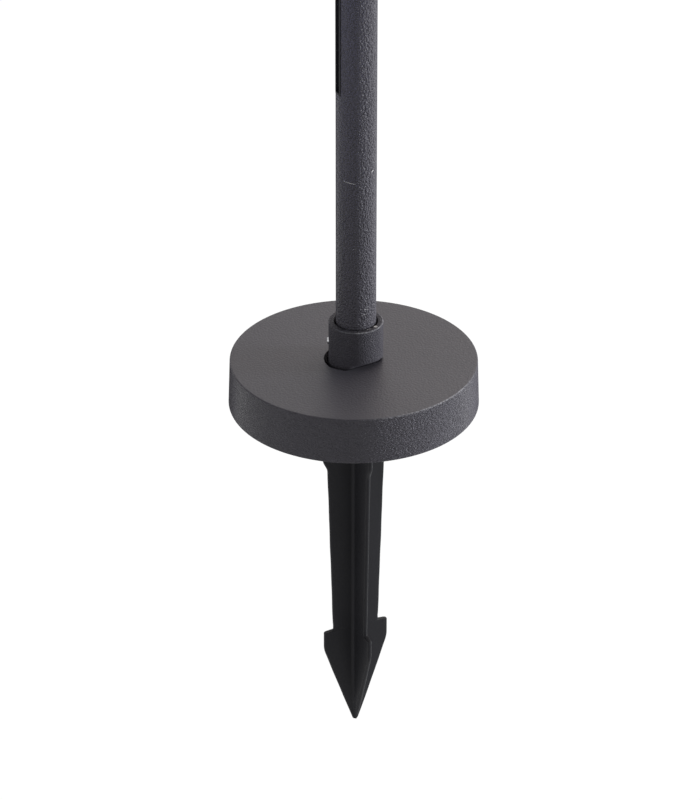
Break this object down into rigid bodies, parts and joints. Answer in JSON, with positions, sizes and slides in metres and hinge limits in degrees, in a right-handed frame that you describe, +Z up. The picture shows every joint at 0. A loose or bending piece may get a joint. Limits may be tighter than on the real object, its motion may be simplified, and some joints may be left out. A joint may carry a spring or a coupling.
{
  "type": "post lamp",
  "caption": "Slim garden post lamp: round coated tube with a recessed light slot, clamped in a socket that passes through a loose round ground disc onto a barbed four-blade spike.",
  "frame": {"origin": "on the post's axis at the ground line, level with the underside of the ground disc", "axes": "+Z up along the post, -Y is the side that the light slot faces, +X to the right seen from the front"},
  "size_m": [0.1268, 0.1267, 0.595],
  "materials": {
    "post_coat": "fine textured powder coat, satin",
    "disc_coat": "fine textured powder coat, matt",
    "spike_plastic": "moulded, matt",
    "housing_plastic": "smooth, satin",
    "steel": "plain stainless",
    "brass": "turned",
    "rubber": "smooth",
    "opal": "opal, satin",
    "aluminium": "extruded",
    "white_mask": "white solder mask",
    "phosphor": "smooth",
    "green_board": "solder mask",
    "component": "moulded",
    "sleeve_plastic": "insulating sheet",
    "terminal_plastic": "moulded",
    "lead_red": "insulated lead",
    "lead_black": "insulated lead"
  },
  "bodies": {
    "base": {"ground_spike": "spike_plastic", "spike_insert": "brass", "cable_grommet": "rubber", "post_socket": "post_coat", "threaded_nipple": "brass", "nipple_nut": "steel", "lock_washer": "steel"},
    "post": {"post_tube": "post_coat", "foot_bush": "spike_plastic", "terminal_block": "terminal_plastic", "terminal_screws": "steel", "driver_sleeve": "sleeve_plastic", "driver_board": "green_board", "driver_parts": "component", "driver_leads": "lead_red", "led_leads": "lead_black", "heat_sink": "aluminium", "led_board": "white_mask", "led_chips": "phosphor", "board_screws": "steel", "slot_housing": "housing_plastic", "slot_gasket": "rubber", "diffuser": "opal", "top_cap": "post_coat", "cap_seal": "rubber", "cap_screw": "steel", "sink_screws": "steel"},
    "disc": {"base_disc": "disc_coat"},
    "screw": {"clamp_screw": "steel"}
  },
  "joints": [
    {"name": "post_turn", "type": "hinge", "parent": "base", "child": "post", "pos_m": [0, 0, 0.0355], "axis": [0, 0, 1], "range_deg": [-170, 170]},
    {"name": "disc_lift", "type": "slide", "parent": "base", "child": "disc", "axis": [0, 0, 1], "range_m": [0, 0.0007]},
    {"name": "screw_out", "type": "slide", "parent": "base", "child": "screw", "axis": [-0.4226, -0.9063, 0], "range_m": [0, 0.0025]}
  ]
}
